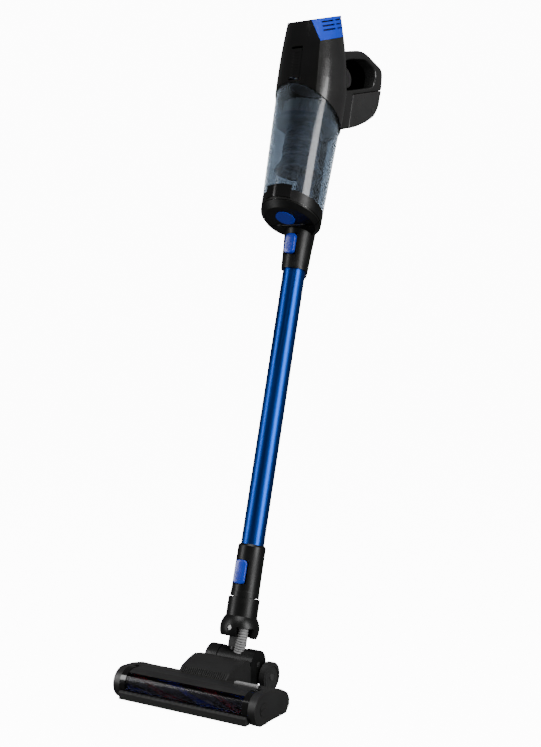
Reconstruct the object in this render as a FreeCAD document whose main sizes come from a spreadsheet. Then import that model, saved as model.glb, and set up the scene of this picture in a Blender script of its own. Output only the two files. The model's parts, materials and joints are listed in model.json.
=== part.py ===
import FreeCAD, Part
import math
import os
import Sketcher
from FreeCAD import Placement, Rotation, Vector

# A cordless stick vacuum. Millimetres, +Z up, the floor head's front faces -Y.
# The wand, neck and handheld unit are built upright in their own frame (Z up the wand, -Y to the front)
# and tilted back about the neck's pitch axis. Each node is one object whose Label names its STEP file.

doc = FreeCAD.newDocument("StickVacuum")
sheet = doc.addObject("Spreadsheet::Sheet", "Dims")


class Size:
    """A length that knows its number and the sheet expression it comes from."""

    def __init__(self, value, text):
        self.value = float(value)
        self.text = text

    def __add__(self, other):
        other = as_size(other)
        return Size(self.value + other.value, f"({self.text} + {other.text})")

    def __sub__(self, other):
        other = as_size(other)
        return Size(self.value - other.value, f"({self.text} - {other.text})")

    def __mul__(self, other):
        other = as_size(other)
        return Size(self.value * other.value, f"({self.text} * {other.text})")

    def __truediv__(self, other):
        other = as_size(other)
        return Size(self.value / other.value, f"({self.text} / {other.text})")

    def __radd__(self, other):
        return as_size(other) + self

    def __rsub__(self, other):
        return as_size(other) - self

    def __rmul__(self, other):
        return as_size(other) * self

    def __neg__(self):
        return Size(-self.value, f"(0 - {self.text})")


def as_size(value):
    return value if isinstance(value, Size) else Size(value, repr(float(value)))


def number(value):
    return as_size(value).value


driving = {}


def dim(alias, value):
    """Put one driving dimension in the sheet and return it."""
    row = len(driving) + 1
    sheet.set(f"A{row}", alias)
    sheet.set(f"B{row}", str(value))
    sheet.setAlias(f"B{row}", alias)
    driving[alias] = value
    return Size(value, f"Dims.{alias}")


# ---- driving dimensions ----
lean = dim("lean_angle", 16.3)
pivot_back = dim("pivot_back", 97.5)
pivot_height = dim("pivot_height", 43)

tube_r = dim("tube_radius", 18)
tube_wall = dim("tube_wall", 1.2)
spigot_r = dim("spigot_radius", 17.2)
spigot_wall = dim("spigot_wall", 2)
bore_r = dim("socket_bore_radius", 17.6)
sleeve_r = dim("sleeve_radius", 21.7)
neck_top = dim("neck_top", 93)
sleeve_low_top = dim("lower_sleeve_top", 173)
sleeve_up_foot = dim("upper_sleeve_foot", 608)
sleeve_up_top = dim("upper_sleeve_top", 675.6)
sleeve_up_r = dim("upper_sleeve_top_radius", 24.9)
joint_overlap = dim("joint_overlap", 57)
gap = dim("moving_gap", 0.4)

ball_height = dim("ball_height", 47)
ball_r = dim("ball_radius", 30)
ball_wall = dim("ball_wall", 3)
drum_r = dim("drum_radius", 19.5)
drum_half = dim("drum_half_width", 21)
hose_r = dim("hose_radius", 10)

cup_low = dim("cup_cone_foot", 640)
cup_high = dim("cup_cone_top", 900)
cup_low_r = dim("cup_foot_radius", 47.2)
cup_high_r = dim("cup_top_radius", 57)
cup_ahead = dim("cup_ahead", 33.8)
cup_wall = dim("cup_wall", 2.4)
shell_wall = dim("shell_wall", 2.6)

head_half = dim("head_half_width", 123.2)
cap_width = dim("end_cap_width", 12)
brush_back = dim("brush_back", -15)
brush_height = dim("brush_height", 21.5)
housing_r = dim("brush_housing_radius", 22.6)
window_wall = dim("window_wall", 2)
chamber_r = dim("brush_chamber_radius", 20.4)
core_r = dim("brush_core_radius", 11)
bristle_r = dim("bristle_radius", 17.6)
deck_rear = dim("deck_rear", 52)
sole_height = dim("sole_height", 1)
wheel_r = dim("wheel_radius", 22)
wheel_back = dim("wheel_back", 114)
wheel_in = dim("wheel_inner_face", 45)
wheel_width = dim("wheel_width", 11)

grip_half = dim("grip_half_width", 21)

WAND = Placement(
    Vector(0, pivot_back.value, pivot_height.value),
    Rotation(Vector(1, 0, 0), -lean.value),
)
FLOOR = Placement()
nodes = []


# ---- small builders ----
def bind(thing, prop, value):
    """Set a property, bound to the sheet when the value comes from it."""
    if isinstance(value, Size):
        thing.setExpression(prop, value.text)
    else:
        setattr(thing, prop, value)


def put(thing, at, turn=None):
    """Place a primitive, each coordinate bound to the sheet where it comes from it."""
    base = Vector(*[number(c) for c in at])
    thing.Placement = Placement(base, turn or Rotation())
    for axis, coordinate in zip("xyz", at):
        if isinstance(coordinate, Size):
            thing.setExpression(f"Placement.Base.{axis}", coordinate.text)
    return thing


AXES = {
    "x": Rotation(Vector(0, 1, 0), 90),
    "y": Rotation(Vector(1, 0, 0), -90),
    "z": Rotation(),
}


def box(low, size, turn=None):
    """A box from its low corner."""
    thing = doc.addObject("Part::Box", "Box")
    for prop, value in zip(("Length", "Width", "Height"), size):
        bind(thing, prop, value)
    return put(thing, low, turn)


def block(x_half, y_low, y_high, z_low, z_high):
    """A box that is symmetric about the YZ plane."""
    size = (as_size(x_half) * 2, as_size(y_high) - y_low, as_size(z_high) - z_low)
    return box((-as_size(x_half), y_low, z_low), size)


def rod(radius, length, at, along="z", angle=None):
    """A cylinder from the centre of its first face, along X, Y or Z."""
    thing = doc.addObject("Part::Cylinder", "Rod")
    bind(thing, "Radius", radius)
    bind(thing, "Height", length)
    if angle:
        thing.Angle = angle
    return put(thing, at, AXES[along] if isinstance(along, str) else along)


def cone(foot_r, top_r, length, at, along="z"):
    thing = doc.addObject("Part::Cone", "Cone")
    bind(thing, "Radius1", foot_r)
    bind(thing, "Radius2", top_r)
    bind(thing, "Height", length)
    return put(thing, at, AXES[along] if isinstance(along, str) else along)


def ball(radius, at):
    thing = doc.addObject("Part::Sphere", "Ball")
    bind(thing, "Radius", radius)
    return put(thing, at)


def ring(radius, section, at, along="z"):
    thing = doc.addObject("Part::Torus", "Ring")
    bind(thing, "Radius1", radius)
    bind(thing, "Radius2", section)
    return put(thing, at, AXES[along])


def fuse(*things):
    if len(things) == 1:
        return things[0]
    thing = doc.addObject("Part::MultiFuse", "Fuse")
    thing.Shapes = list(things)
    thing.Refine = True
    return thing


def cut(base, *tools):
    thing = doc.addObject("Part::Cut", "Cut")
    thing.Base = base
    thing.Tool = fuse(*tools)
    thing.Refine = True
    return thing


def common(*things):
    thing = doc.addObject("Part::MultiCommon", "Common")
    thing.Shapes = list(things)
    thing.Refine = True
    return thing


def plain(thing):
    """Leave a boolean's lofted faces unmerged, since merging them breaks the solid."""
    thing.Refine = False
    return thing


def pipe(outer, inner, length, at, along="z"):
    """A round tube."""
    return cut(rod(outer, length, at, along), rod(inner, length, at, along))


def group(*things):
    """Separate solids that share a node."""
    thing = doc.addObject("Part::Compound", "Group")
    thing.Links = list(things)
    return thing


def origin_plane(body, role):
    for feature in body.Origin.OriginFeatures:
        if feature.Role == role:
            return feature
    raise ValueError(role)


def polygon_sketch(body, role, points, offset=0.0):
    """A closed polygon on an origin plane, each corner held by its coordinates."""
    sketch = body.newObject("Sketcher::SketchObject", "Profile")
    sketch.AttachmentSupport = [(origin_plane(body, role), "")]
    sketch.MapMode = "FlatFace"
    if offset:
        sketch.AttachmentOffset = Placement(Vector(0, 0, offset), Rotation())
    corners = [Vector(number(u), number(v), 0) for u, v in points]
    count = len(corners)
    for index in range(count):
        sketch.addGeometry(Part.LineSegment(corners[index], corners[(index + 1) % count]), False)
    for index in range(count):
        sketch.addConstraint(Sketcher.Constraint("Coincident", index, 2, (index + 1) % count, 1))
    for index, (u, v) in enumerate(points):
        hold(sketch, index, "DistanceX", u, -2)
        hold(sketch, index, "DistanceY", v, -1)
    return sketch


def hold(sketch, index, kind, value, axis):
    """Hold the first end of an edge at a coordinate, or on the axis when it is zero."""
    amount = number(value)
    if abs(amount) < 1e-9:
        sketch.addConstraint(Sketcher.Constraint("PointOnObject", index, 1, axis))
        return
    place = sketch.addConstraint(Sketcher.Constraint(kind, -1, 1, index, 1, amount))
    if isinstance(value, Size):
        sketch.setExpression(f"Constraints[{place}]", value.text)


def turned(points):
    """A solid of revolution about Z from (radius, height) corners."""
    body = doc.addObject("PartDesign::Body", "Turned")
    sketch = polygon_sketch(body, "XZ_Plane", points)
    feature = body.newObject("PartDesign::Revolution", "Revolve")
    feature.Profile = sketch
    feature.ReferenceAxis = (sketch, ["V_Axis"])
    feature.Angle = 360
    return body


def slab_x(points, half):
    """A plate with a (y, z) outline, symmetric about the YZ plane."""
    return plate("YZ_Plane", points, as_size(half) * 2, True)


def plate(role, points, thickness, midplane=False, offset=0.0):
    """A padded polygon on an origin plane."""
    body = doc.addObject("PartDesign::Body", "Plate")
    sketch = polygon_sketch(body, role, points, offset)
    feature = body.newObject("PartDesign::Pad", "Pad")
    feature.Profile = sketch
    bind(feature, "Length", thickness)
    feature.Midplane = midplane
    return body


def rounded(thing, radius, select):
    """Round the edges that the test selects."""
    doc.recompute()
    picked = [i + 1 for i, edge in enumerate(thing.Shape.Edges) if select(edge)]
    feature = doc.addObject("Part::Fillet", "Round")
    feature.Base = thing
    feature.Edges = [(index, radius, radius) for index in picked]
    return feature


def along(edge, direction, share=0.999):
    """Whether a straight edge runs along a direction."""
    if not isinstance(edge.Curve, Part.Line):
        return False
    return abs(edge.Curve.Direction.dot(direction)) > share


def node(label, thing, frame=FLOOR):
    """Name a finished piece and stand it in its frame."""
    bound = any(path.startswith("Placement") for path, _ in thing.ExpressionEngine)
    holder = group(thing) if bound else thing
    holder.Label = label
    holder.Placement = frame.multiply(holder.Placement)
    nodes.append(holder)
    return holder


# ---- floor head ----
def head_profile(grow=0.0):
    """The head's side outline, a round nose running back into a flat deck."""
    nose = rod(housing_r + grow, head_half * 2, (-head_half, brush_back, brush_height), "x")
    back = slab_x(
        [
            (brush_back, sole_height),
            (deck_rear - 8, sole_height),
            (deck_rear + grow, 11),
            (deck_rear + grow, 20),
            (deck_rear - 5, 29 + grow),
            (31, 37.6 + grow),
            (8, 42.4 + grow),
            (brush_back, 44 + grow),
        ],
        head_half,
    )
    return fuse(nose, back)


def brush_chamber():
    """The round room the brush turns in, open to the floor."""
    start = (cap_width - head_half, brush_back, brush_height)
    room = rod(chamber_r + 0.3, (head_half - cap_width) * 2, start, "x")
    mouth = block(head_half - cap_width - 4, brush_back - 15, brush_back + 15, -5, brush_height)
    return fuse(room, mouth)


def inner_width(low_z=-20):
    """The space between the two end caps."""
    return block(head_half - cap_width - 0.1, -80, 80, low_z, 80)


def window_sector():
    """The wedge of the nose that the clear window fills."""
    return slab_x(
        [
            (brush_back + 1, brush_height - 2),
            (-60, 14.3),
            (-60, 88.3),
            (brush_back + 0.6, brush_height),
        ],
        head_half - cap_width - 10,
    )


def build_window():
    skin = cut(
        rod(housing_r, head_half * 2, (-head_half, brush_back, brush_height), "x"),
        rod(housing_r - window_wall, head_half * 2, (-head_half, brush_back, brush_height), "x"),
    )
    node("brush_window", common(skin, window_sector()))


def build_window_blocks():
    blocks = []
    for low in (cap_width - head_half, head_half - cap_width - 9.8):
        skin = cut(
            rod(housing_r + 1, 9.6, (as_size(low) + 0.1, brush_back, brush_height), "x"),
            rod(chamber_r + 0.3, 12, (as_size(low) - 1, brush_back, brush_height), "x"),
        )
        front = slab_x(
            [(brush_back, brush_height), (-60, 14.3), (-60, 70), (brush_back + 14, 70)],
            head_half,
        )
        blocks.append(common(skin, front))
    node("window_end_blocks", group(*blocks))


def build_base():
    """Lower shell: brush chamber, sole and duct floor, open at the window."""
    side = [
        (-60, -10),
        (80, -10),
        (80, 20),
        (brush_back + 26, 20),
        (brush_back + 26, 34),
        (brush_back + 19, 34),
        (brush_back, brush_height),
        (-30, 17.1),
        (-60, 13.7),
    ]
    lower = common(head_profile(), inner_width(), slab_x(side, head_half))
    tail = slab_x([(deck_rear - 4, 4), (96, 4), (104, 10), (104, 15), (deck_rear - 4, 15)], 20)
    shell = cut(
        fuse(lower, tail),
        brush_chamber(),
        block(head_half - cap_width - 4, brush_back + 26.5, deck_rear - 3, 4, 60),
        block(17, deck_rear - 4, 101, 7, 60),
        rod(12.5, 60, (0, -20, 24), "y"),
        centre_outline(0.2),
    )
    for x_place in (-90, -40, 40, 90):
        shell = cut(shell, rod(1.6, 12, (x_place, 45, -1)), rod(3.1, 3.6, (x_place, 45, -1)))
    node("head_base", shell)


def build_deck():
    """The flat top behind the window, open in the middle for the centre housing."""
    front_room = slab_x(
        [
            (-60, 0),
            (brush_back + 28.4, 0),
            (brush_back + 28.4, 34.3),
            (brush_back + 18.4, 34.3),
            (brush_back + 0.2, brush_height + 0.4),
            (-60, 89.2),
        ],
        head_half,
    )
    inside = slab_x(
        [
            (brush_back + 28.4, 0),
            (deck_rear - 2.5, 0),
            (deck_rear - 2.5, 19),
            (44.8, 26.6),
            (29.8, 34.9),
            (brush_back + 28.4, 37.6),
        ],
        head_half - cap_width - 3,
    )
    block_rooms = [box((low, -60, 0), (12, 61.4, 80)) for low in (-113.3, 101.3)]
    deck = cut(
        common(head_profile(), inner_width(20.3)),
        rod(chamber_r + 0.3, head_half * 2, (-head_half, brush_back, brush_height), "x"),
        front_room,
        inside,
        *block_rooms,
        centre_outline(0.3),
        box((58, 6, 30), (44, 8, 20)),
        rod(4, 20, (-head_half, MOTOR_Y, MOTOR_Z), "x"),
    )
    node("deck_cover", deck)


def centre_outline(grow=0.0):
    """The raised middle housing's outer solid."""
    tall = slab_x(
        [
            (12 - grow, 20.2),
            (12 - grow, 39.5),
            (21 - grow, 48.5 + grow),
            (40, 54 + grow),
            (58, 57.5 + grow),
            (71 + grow, 55),
            (76 + grow, 44),
            (76 + grow, 15.5),
            (deck_rear + 0.5, 15.5),
            (deck_rear - 3, 20.2),
        ],
        60,
    )
    plan = plate(
        "XY_Plane",
        [
            (-41 - grow, 0),
            (41 + grow, 0),
            (45 + grow, deck_rear),
            (42 + grow, 80),
            (-42 - grow, 80),
            (-45 - grow, deck_rear),
        ],
        90,
    )
    return common(tall, plan)


def build_centre():
    """Raised middle housing with a slotted grille across its front."""
    inside = common(
        slab_x([(14.8, 5), (14.8, 38.4), (22, 45.8), (40, 51.3), (58, 54.8), (90, 51), (90, 5)], 60),
        block(38.4, 0, 90, 0, 80),
    )
    lid = rod(drum_r + 1.6, 90, (-45, pivot_back, pivot_height), "x")
    shell = cut(centre_outline(), inside, lid, rod(12.5, 40, (0, 0, 24), "y"))
    slots = [box((x, 9, 24), (3.4, 8, 14.5)) for x in range(-36, 34, 7)]
    node("centre_housing", cut(shell, *slots))


def build_caps():
    """End caps: solid ends with a round recess for the brush's bearing."""
    for side, low in (("left", -head_half), ("right", head_half - cap_width)):
        end = common(head_profile(0.6), box((low, -80, -10), (cap_width, 200, 100)))
        inner = low.value + (3 if side == "left" else -0.5)
        depth = cap_width.value - 2.5
        bodies = [rod(14.5, depth, (inner, brush_back, brush_height), "x")]
        if side == "left":
            run = [
                (brush_back, brush_height - 14.2),
                (MOTOR_Y, MOTOR_Z - 8.5),
                (MOTOR_Y, MOTOR_Z + 8.5),
                (brush_back + 2, brush_height + 14.3),
            ]
            bodies.append(plate("YZ_Plane", run, depth, False, inner))
            bodies.append(rod(8.6, depth, (inner, MOTOR_Y, MOTOR_Z), "x"))
        else:
            bodies.append(rod(9.3, 6, (head_half - 4, brush_back, brush_height), "x"))
        node(f"end_cap_{side}", cut(end, *bodies))
    disc = fuse(
        rod(9, 3.4, (head_half - 2.9, brush_back, brush_height), "x"),
        box((head_half + 0.4, brush_back - 6, brush_height - 1), (0.9, 12, 2)),
    )
    node("brush_access_disc", disc)


def build_bumper():
    """Soft strip along the front's lower edge."""
    lip = slab_x(
        [(-41, 3), (-24, 3), (-24, 8), (-38.2, 15.5), (-40, 14.5), (-41, 12.5)],
        head_half - cap_width - 1,
    )
    strip = cut(lip, rod(housing_r + 0.1, head_half * 2, (-head_half, brush_back, brush_height), "x"))
    node("front_bumper", strip)


def build_sole():
    screws = []
    for x_place in (-90, -40, 40, 90):
        head_part = rod(3, 1.5, (x_place, 45, 1.05))
        screws.append(fuse(head_part, rod(1.5, 10, (x_place, 45, 2.5))))
    node("sole_screws", group(*screws))


def bristle_strip(start, turn, steps, length):
    """One helical row of bristles on the core, lofted through turned sections."""
    sections = []
    low, high, half = core_r.value - 0.6, bristle_r.value, 2.6
    for step in range(steps + 1):
        angle = math.radians(start + turn * step / steps)
        along_x = -length / 2 + length * step / steps
        out = Vector(0, math.cos(angle), math.sin(angle))
        side = Vector(0, -math.sin(angle), math.cos(angle))
        corners = [
            out * low - side * half,
            out * high - side * half * 1.6,
            out * high + side * half * 1.6,
            out * low + side * half,
        ]
        middle = Vector(along_x, brush_back.value, brush_height.value)
        points = [middle + corner for corner in corners]
        sections.append(Part.makePolygon(points + points[:1]))
    return Part.makeLoft(sections, True, True)


def build_brush():
    reach = head_half - cap_width
    core = turned_x(
        [
            (-reach + 1, 0),
            (-reach + 1, 4),
            (-reach + 3.5, 4),
            (-reach + 3.5, core_r),
            (reach - 3.5, core_r),
            (reach - 3.5, 4),
            (reach + 4, 4),
            (reach + 4, 0),
        ]
    )
    rows = []
    for colour, starts in (("blue", (0, 180)), ("red", (90, 270))):
        shapes = [bristle_strip(start, 300, 30, 2 * reach.value - 14) for start in starts]
        row = doc.addObject("Part::Feature", f"Bristles{colour}")
        row.Shape = Part.makeCompound(shapes)
        rows.append(row)
        node(f"bristles_{colour}", row)
    node("brush_core", cut(core, *rows))
    pulley_at = (-head_half + 5, brush_back, brush_height)
    pulley = fuse(
        rod(12, 5, pulley_at, "x"),
        rod(4, 2.4, (-head_half + 9.9, brush_back, brush_height), "x"),
    )
    node("brush_pulley", cut(pulley, rod(2.5, 20, (-head_half, brush_back, brush_height), "x")))


def turned_x(points):
    """A solid of revolution about the brush's axis, from (x, radius) corners."""
    body = doc.addObject("PartDesign::Body", "TurnedX")
    sketch = polygon_sketch(body, "XY_Plane", points)
    feature = body.newObject("PartDesign::Revolution", "Revolve")
    feature.Profile = sketch
    feature.ReferenceAxis = (sketch, ["H_Axis"])
    feature.Angle = 360
    body.Placement = Placement(Vector(0, brush_back.value, brush_height.value), Rotation())
    return body


MOTOR_Y, MOTOR_Z = 30, 21.5
PULLEY_BIG, PULLEY_SMALL = 12, 5


def build_drive():
    """Head motor, its pulley and the belt round both pulleys."""
    motor = fuse(
        rod(11, 46, (-head_half + cap_width + 4, MOTOR_Y, MOTOR_Z), "x"),
        rod(5, 3, (-head_half + cap_width + 50, MOTOR_Y, MOTOR_Z), "x"),
    )
    node("head_motor", cut(motor, rod(1.55, 60, (-head_half, MOTOR_Y, MOTOR_Z), "x")))
    small = fuse(
        rod(PULLEY_SMALL, 5, (-head_half + 5, MOTOR_Y, MOTOR_Z), "x"),
        rod(1.5, 30, (-head_half + 5, MOTOR_Y, MOTOR_Z), "x"),
    )
    node("motor_pulley", small)
    node("drive_belt", belt_loop())


def belt_loop():
    """A flat belt: two round ends joined by the pulleys' outer tangents."""
    thick = 1.2
    free = 0.3

    def outline(extra):
        big = Vector(0, brush_back.value, brush_height.value)
        small = Vector(0, MOTOR_Y, MOTOR_Z)
        radius_big, radius_small = PULLEY_BIG + extra, PULLEY_SMALL + extra
        line = small - big
        span = line.Length
        along_line = line.normalize()
        normal = Vector(0, -along_line.z, along_line.y)
        lean_in = (radius_big - radius_small) / span
        out = math.sqrt(1 - lean_in * lean_in)
        up = along_line * lean_in + normal * out
        down = along_line * lean_in - normal * out
        points = [big + up * radius_big, small + up * radius_small]
        back = [small + down * radius_small, big + down * radius_big]
        return Part.Wire(
            [
                Part.LineSegment(points[0], points[1]).toShape(),
                Part.Arc(points[1], small + along_line * radius_small, back[0]).toShape(),
                Part.LineSegment(back[0], back[1]).toShape(),
                Part.Arc(back[1], big - along_line * radius_big, points[0]).toShape(),
            ]
        )

    outer = Part.Face(outline(free + thick)).extrude(Vector(4, 0, 0))
    inner = Part.Face(outline(free)).extrude(Vector(4, 0, 0))
    belt = doc.addObject("Part::Feature", "Belt")
    belt.Shape = outer.cut(inner)
    belt.Placement = Placement(Vector(-head_half.value + 5.5, 0, 0), Rotation())
    return belt


def build_bearing():
    ring_part = pipe(9.5, 4.05, 5, (head_half - cap_width + 0.2, brush_back, brush_height), "x")
    node("brush_bearing", ring_part)


def build_latch():
    """Sliding catch of the brush window on the right of the deck."""
    plate_part = box((60, 6.4, 39.4), (36, 6.8, 5))
    node("window_latch", plate_part)


def build_yoke():
    """Two round cheeks that carry the neck and the wheels."""
    cheeks = []
    for sign in (-1, 1):
        low = 22 if sign > 0 else -42
        cheek = fuse(
            rod(drum_r + 1.2, 20, (low, pivot_back, pivot_height), "x"),
            box((low, 76.5, 9), (20, 21, 34)),
            box((low, 60, 9), (20, 17, 6)),
        )
        arm_low = 30 if sign > 0 else -42
        arm = box((arm_low, 97, 14), (12, 27, 12))
        hub = rod(8, 12, (arm_low, wheel_back, wheel_r), "x")
        cheeks.append(fuse(cheek, arm, hub))
    bridge = block(24, 84, 97, 16, 21)
    frame_part = cut(
        fuse(*cheeks, bridge),
        centre_outline(0.2),
        rod(4, 120, (-60, pivot_back, pivot_height), "x"),
        rod(3, 120, (-60, wheel_back, wheel_r), "x"),
    )
    node("neck_yoke", frame_part)


def build_wheels():
    axles = []
    pins = []
    for side, sign in (("left", -1), ("right", 1)):
        face = wheel_in if sign > 0 else -(wheel_in + wheel_width)
        middle = (as_size(face) + 0.8, wheel_back, wheel_r)
        rim = fuse(
            rod(wheel_r - 2.5, wheel_width, (face, wheel_back, wheel_r), "x"),
            rod(wheel_r, wheel_width - 1.6, middle, "x"),
        )
        outer = as_size(face) + (wheel_width - 1.5 if sign > 0 else -1)
        dish = rod(wheel_r - 6, 2.5, (outer, wheel_back, wheel_r), "x")
        bore = rod(3.05, 60, (as_size(face) - 20, wheel_back, wheel_r), "x")
        node(f"wheel_{side}", cut(rim, dish, bore))
        pin_low = 31 if sign > 0 else -54.7
        cap_low = 54.6 if sign > 0 else -55.8
        axles.append(
            fuse(
                rod(3, 23.7, (pin_low, wheel_back, wheel_r), "x"),
                rod(5, 1.2, (cap_low, wheel_back, wheel_r), "x"),
            )
        )
        pivot_low = 12.5 if sign > 0 else -42
        pins.append(rod(4, 29.5, (pivot_low, pivot_back, pivot_height), "x"))
    node("wheel_axles", group(*axles))
    node("pivot_pins", group(*pins))


# ---- neck ----
def build_cradle():
    """Pitch drum with two ears that carry the swivel housing."""
    drum = rod(drum_r, drum_half * 2, (-drum_half, 0, 0), "x")
    stalk = rod(12.3, 24, (0, 0, 8))
    ears = [box((-7, y, 20), (14, 3.5, ball_height - 20)) for y in (11.5, -15)]
    tips = [rod(7, 3.5, (0, y, ball_height), "y") for y in (11.5, -15)]
    body = cut(
        fuse(drum, stalk, *ears, *tips),
        rod(hose_r + 0.9, 60, (0, 0, -6)),
        cone(13, 9, 26, (0, 0, 0), Rotation(Vector(1, 0, 0), 115)),
        rod(4.05, 40, (0, -20, ball_height), "y"),
        rod(4.05, 60, (-30, 0, 0), "x"),
    )
    node("neck_cradle", body, WAND)


def build_hose():
    """Ribbed hose through the swivel."""
    ribs = 9
    pitch = 3.9
    foot = 24
    points = [(hose_r - 2.6, foot)]
    for rib in range(ribs):
        low = foot + pitch * rib
        points += [
            (hose_r - 1, low),
            (hose_r, low + pitch * 0.3),
            (hose_r, low + pitch * 0.6),
            (hose_r - 1, low + pitch * 0.9),
        ]
    top = foot + pitch * ribs
    points += [(hose_r - 1, top), (hose_r - 2.6, top)]
    node("neck_hose", turned(points), WAND)


def build_swivel():
    """Round swivel housing, the neck tube above it and the spigot the wand slides on."""
    housing = common(
        fuse(
            ball(ball_r, (0, 0, ball_height)),
            rod(24, neck_top - ball_height - 8, (0, 0, ball_height + 8)),
        ),
        block(60, -60, 60, 34.6, neck_top.value),
    )
    spigot = rod(spigot_r, joint_overlap, (0, 0, neck_top))
    hose_window = box((11, -40, 20), (30, 34, 29))
    hollow = [
        ball(ball_r - ball_wall, (0, 0, ball_height)),
        rod(spigot_r - spigot_wall, 120, (0, 0, ball_height)),
    ]
    body = cut(
        fuse(housing, spigot),
        *hollow,
        rod(4, 80, (0, -40, ball_height), "y"),
        hose_window,
    )
    node("swivel_housing", body, WAND)
    pins = [rod(4, 16, (0, y, ball_height), "y") for y in (12.4, -28.4)]
    node("swivel_pins", group(*pins), WAND)


# ---- wand ----
def release_button(label, centre, width, height, front, back):
    """A rounded push button in a sleeve, ribbed across its face."""
    body = box((-width / 2, front, centre - height / 2), (width, back - front, height))
    soft = rounded(body, 3.2, lambda edge: along(edge, Vector(0, 1, 0)))
    node(label, soft, WAND)


def build_wand():
    node(
        "wand_tube",
        pipe(tube_r, tube_r - tube_wall, sleeve_up_foot + 20 - 155, (0, 0, 155)),
        WAND,
    )
    low_outer = turned(
        [
            (0, neck_top + gap),
            (sleeve_r + 0.3, neck_top + gap),
            (sleeve_r + 0.3, neck_top + 8),
            (sleeve_r, neck_top + 10),
            (sleeve_r - 0.4, sleeve_low_top - 3),
            (sleeve_r - 2, sleeve_low_top),
            (0, sleeve_low_top),
        ]
    )
    lower = cut(
        low_outer,
        rod(bore_r, 155 - neck_top, (0, 0, neck_top)),
        rod(tube_r, 40, (0, 0, 154.9)),
        block(10.6, -40, -17, 111, 149),
    )
    node("lower_sleeve", lower, WAND)
    up_outer = turned(
        [
            (0, sleeve_up_foot),
            (sleeve_r - 0.6, sleeve_up_foot),
            (sleeve_r, sleeve_up_foot + 3),
            (sleeve_r + 1.4, sleeve_up_foot + 34),
            (sleeve_up_r, sleeve_up_top - 5),
            (sleeve_up_r, sleeve_up_top),
            (0, sleeve_up_top),
        ]
    )
    ridge = slab_x(
        [(10, 600), (26, 603), (29.5, 612), (31, 650), (31, sleeve_up_top), (10, sleeve_up_top)],
        7,
    )
    upper = cut(
        fuse(up_outer, ridge),
        rod(tube_r, sleeve_up_foot + 20 - 590, (0, 0, 590)),
        rod(bore_r, 60, (0, 0, sleeve_up_foot + 20)),
        block(9.6, -40, -17, 629, 663.5),
    )
    node("upper_sleeve", upper, WAND)
    release_button("lower_release_button", 130, 20, 36, -25.4, -20.6)
    release_button("upper_release_button", 646, 18, 32.5, -27.4, -20.8)


# ---- handheld unit ----
CUP_TILT = 0.85
cup_axis = Rotation(Vector(1, 0, 0), -CUP_TILT)


def cup_cone(shrink=0.0):
    """The cup's slightly flaring outer form, in the wand frame."""
    foot = (0, -cup_ahead, cup_low)
    return cone(cup_low_r - shrink, cup_high_r - shrink, cup_high - cup_low + 40, foot, cup_axis)


def below_plane(height, at_y, slope, side=0.0):
    """Everything under a plane that rises to the front by slope and to the left by side."""
    depth = 400
    turn = Rotation(Vector(0, 0, 1), Vector(side, slope, 1))
    corner = turn.multVec(Vector(-depth / 2, -depth / 2, -depth))
    return box((corner.x, at_y + corner.y, height + corner.z), (depth, depth, depth), turn)


SEAM_HEIGHT, SEAM_Y, SEAM_SLOPE, SEAM_SIDE = 857, -18, 0.477, 0.173
BASE_HEIGHT, BASE_Y, BASE_SLOPE = 684, -33, 0.29
FLOOR_DROP = 9


def sleeve_room():
    """The space the wand's upper sleeve slides in, under the collar."""
    height = sleeve_up_top - 599.6
    ridge_room = box((-7.4, 0, 600), (14.8, 32, height))
    return fuse(rod(sleeve_up_r + 0.4, height, (0, 0, 600)), ridge_room)


def build_cup():
    outer = common(cup_cone(), below_plane(SEAM_HEIGHT - 0.5, SEAM_Y, SEAM_SLOPE, SEAM_SIDE))
    shell = cut(
        outer,
        cup_cone(cup_wall),
        below_plane(BASE_HEIGHT + 0.2, BASE_Y, BASE_SLOPE),
        sleeve_room(),
    )
    node("dust_cup", shell, WAND)


def base_disc():
    """The slanted black base below the cup."""
    slab = cut(
        common(cup_cone(), below_plane(BASE_HEIGHT, BASE_Y, BASE_SLOPE)),
        below_plane(BASE_HEIGHT - FLOOR_DROP, BASE_Y, BASE_SLOPE),
    )
    turn = Rotation(Vector(1, 0, 0), -math.degrees(math.atan(BASE_SLOPE)))
    chamfer_foot = turn.multVec(Vector(0, 0, -12))
    bevel = cone(38.5, 54, 15, (0, BASE_Y + chamfer_foot.y, BASE_HEIGHT + chamfer_foot.z), turn)
    return common(slab, bevel)


HINGE_Y, HINGE_Z = -29.5, 675.4
HINGE_GAP = 1.4
LUG_X = 18


def hinge_lugs(grow=0.0):
    """Two lugs of the base that hold the lid's pin."""
    lugs = []
    for low in (-LUG_X - 6 - grow, LUG_X - grow):
        lugs.append(
            box(
                (low, HINGE_Y - 3 - grow, HINGE_Z - 2.6 - grow),
                (6 + 2 * grow, 12, 6.2 + 2 * grow),
            )
        )
    return fuse(*lugs)


def build_base_ring():
    """Black base: the lid's frame, the wand collar and the inlet spigot."""
    lid_edge = HINGE_Y + 2.5
    behind = box((-80, lid_edge + HINGE_GAP, 600), (160, 120, 200))
    rear = cut(common(base_disc(), behind), sleeve_room())
    collar = rod(sleeve_up_r, 14, (0, 0, sleeve_up_top + gap))
    ridge = slab_x(
        [
            (10, sleeve_up_top + gap),
            (31, sleeve_up_top + gap),
            (31, 688),
            (24, 698),
            (10, 698),
        ],
        7,
    )
    spigot = rod(spigot_r, joint_overlap - 12, (0, 0, sleeve_up_top + gap - joint_overlap + 13))
    foot = cut(
        fuse(rear, collar, ridge, spigot, hinge_lugs()),
        above_base(),
        rod(spigot_r - spigot_wall, 120, (0, 0, 600)),
        rod(1.6, 80, (-40, HINGE_Y, HINGE_Z), "x"),
    )
    node("cup_base", foot, WAND)


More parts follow.
